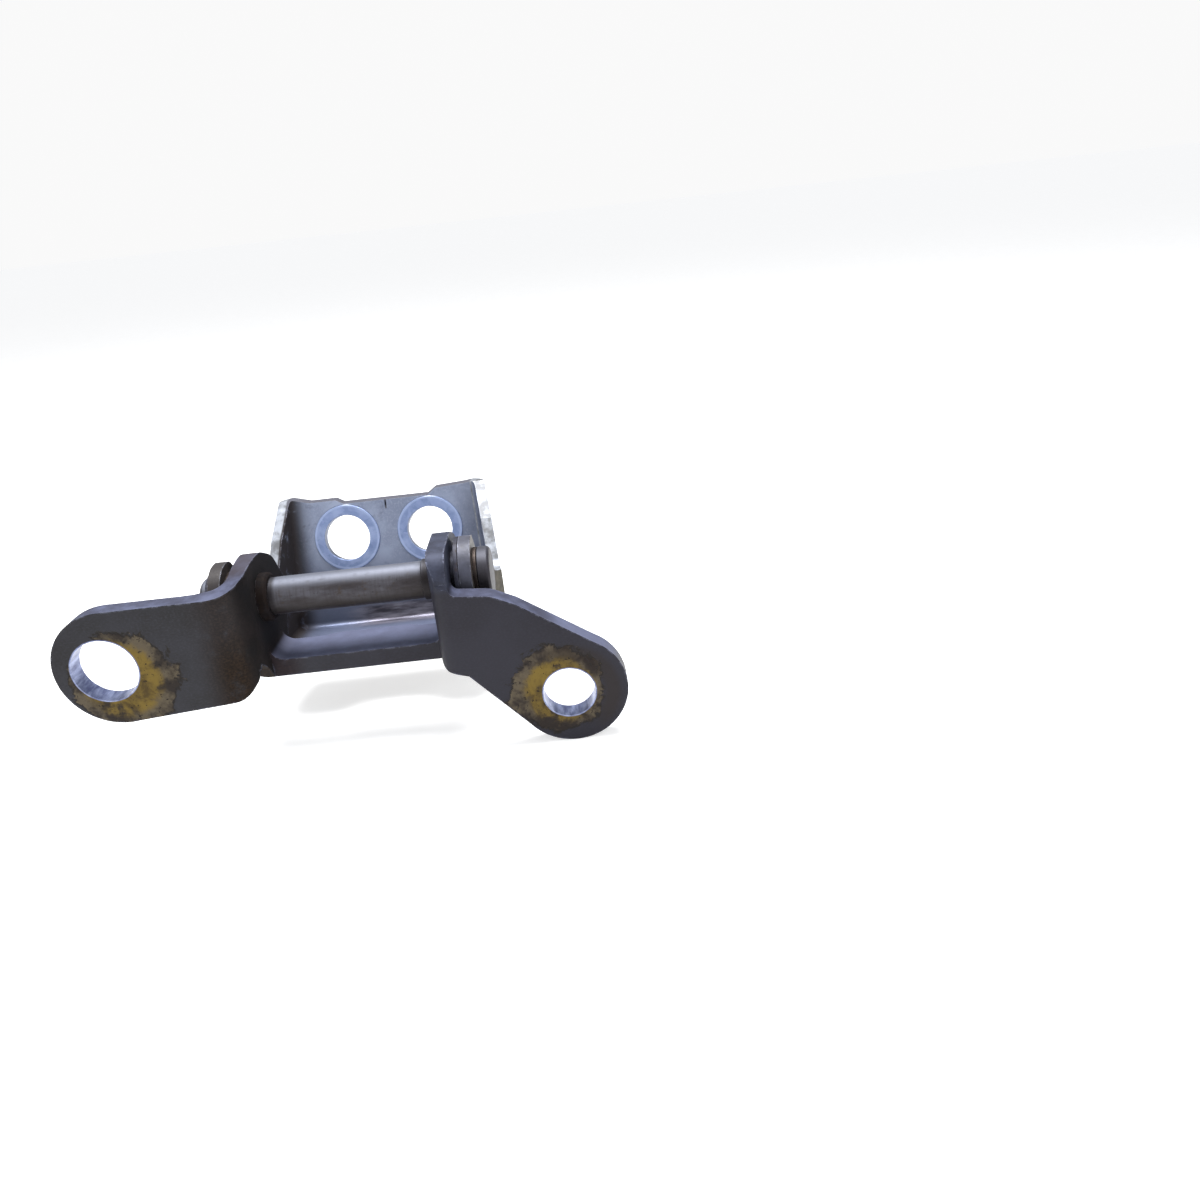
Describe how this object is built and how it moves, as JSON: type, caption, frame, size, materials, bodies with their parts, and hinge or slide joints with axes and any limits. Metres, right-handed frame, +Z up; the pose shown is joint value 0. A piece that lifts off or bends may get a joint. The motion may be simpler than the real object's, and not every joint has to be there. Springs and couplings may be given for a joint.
{
  "type": "vehicle door hinge",
  "caption": "Pressed-steel door hinge: a thick U bracket with folded bolt tabs holds a riveted pin, on which a flared two-hole door bracket swings.",
  "frame": {"origin": "centre of the larger pillar bolt hole, on the face that bolts to the pillar", "axes": "+X along the pin towards the slanted tab, +Y away from the pillar face into the hinge, +Z up; rest pose is the one pictured"},
  "size_m": [0.1153, 0.0555, 0.0447],
  "materials": {
    "dark_plate": "dark slate-grey coating worn to steel on the edges, rust and dried grease round the bolt holes",
    "pressed_sheet": "bare grey pressed sheet, bright on its sheared edges, brown outside",
    "pin_steel": "grey-brown oiled steel",
    "collar_steel": "dark oiled steel",
    "washer_steel": "steel with brown rust film",
    "bush_bronze": "dull bronze, oiled",
    "zinc_ring": "zinc plate with a blue cast"
  },
  "bodies": {
    "pillar": {"pillar_bracket": "dark_plate", "hinge_pin": "pin_steel", "pin_collar": "collar_steel", "end_washer": "washer_steel", "spacer_ring": "washer_steel", "thrust_washer_peened_end": "washer_steel", "thrust_washer_head_end": "washer_steel"},
    "door": {"door_bracket": "pressed_sheet", "bush_peened_end": "bush_bronze", "bush_head_end": "bush_bronze", "seat_ring_peened_end": "zinc_ring", "seat_ring_head_end": "zinc_ring"}
  },
  "joints": [
    {"name": "door_swing", "type": "hinge", "parent": "pillar", "child": "door", "pos_m": [0.05, 0.014, 0.007], "axis": [-1, 0, 0], "range_deg": [0, 65]}
  ]
}
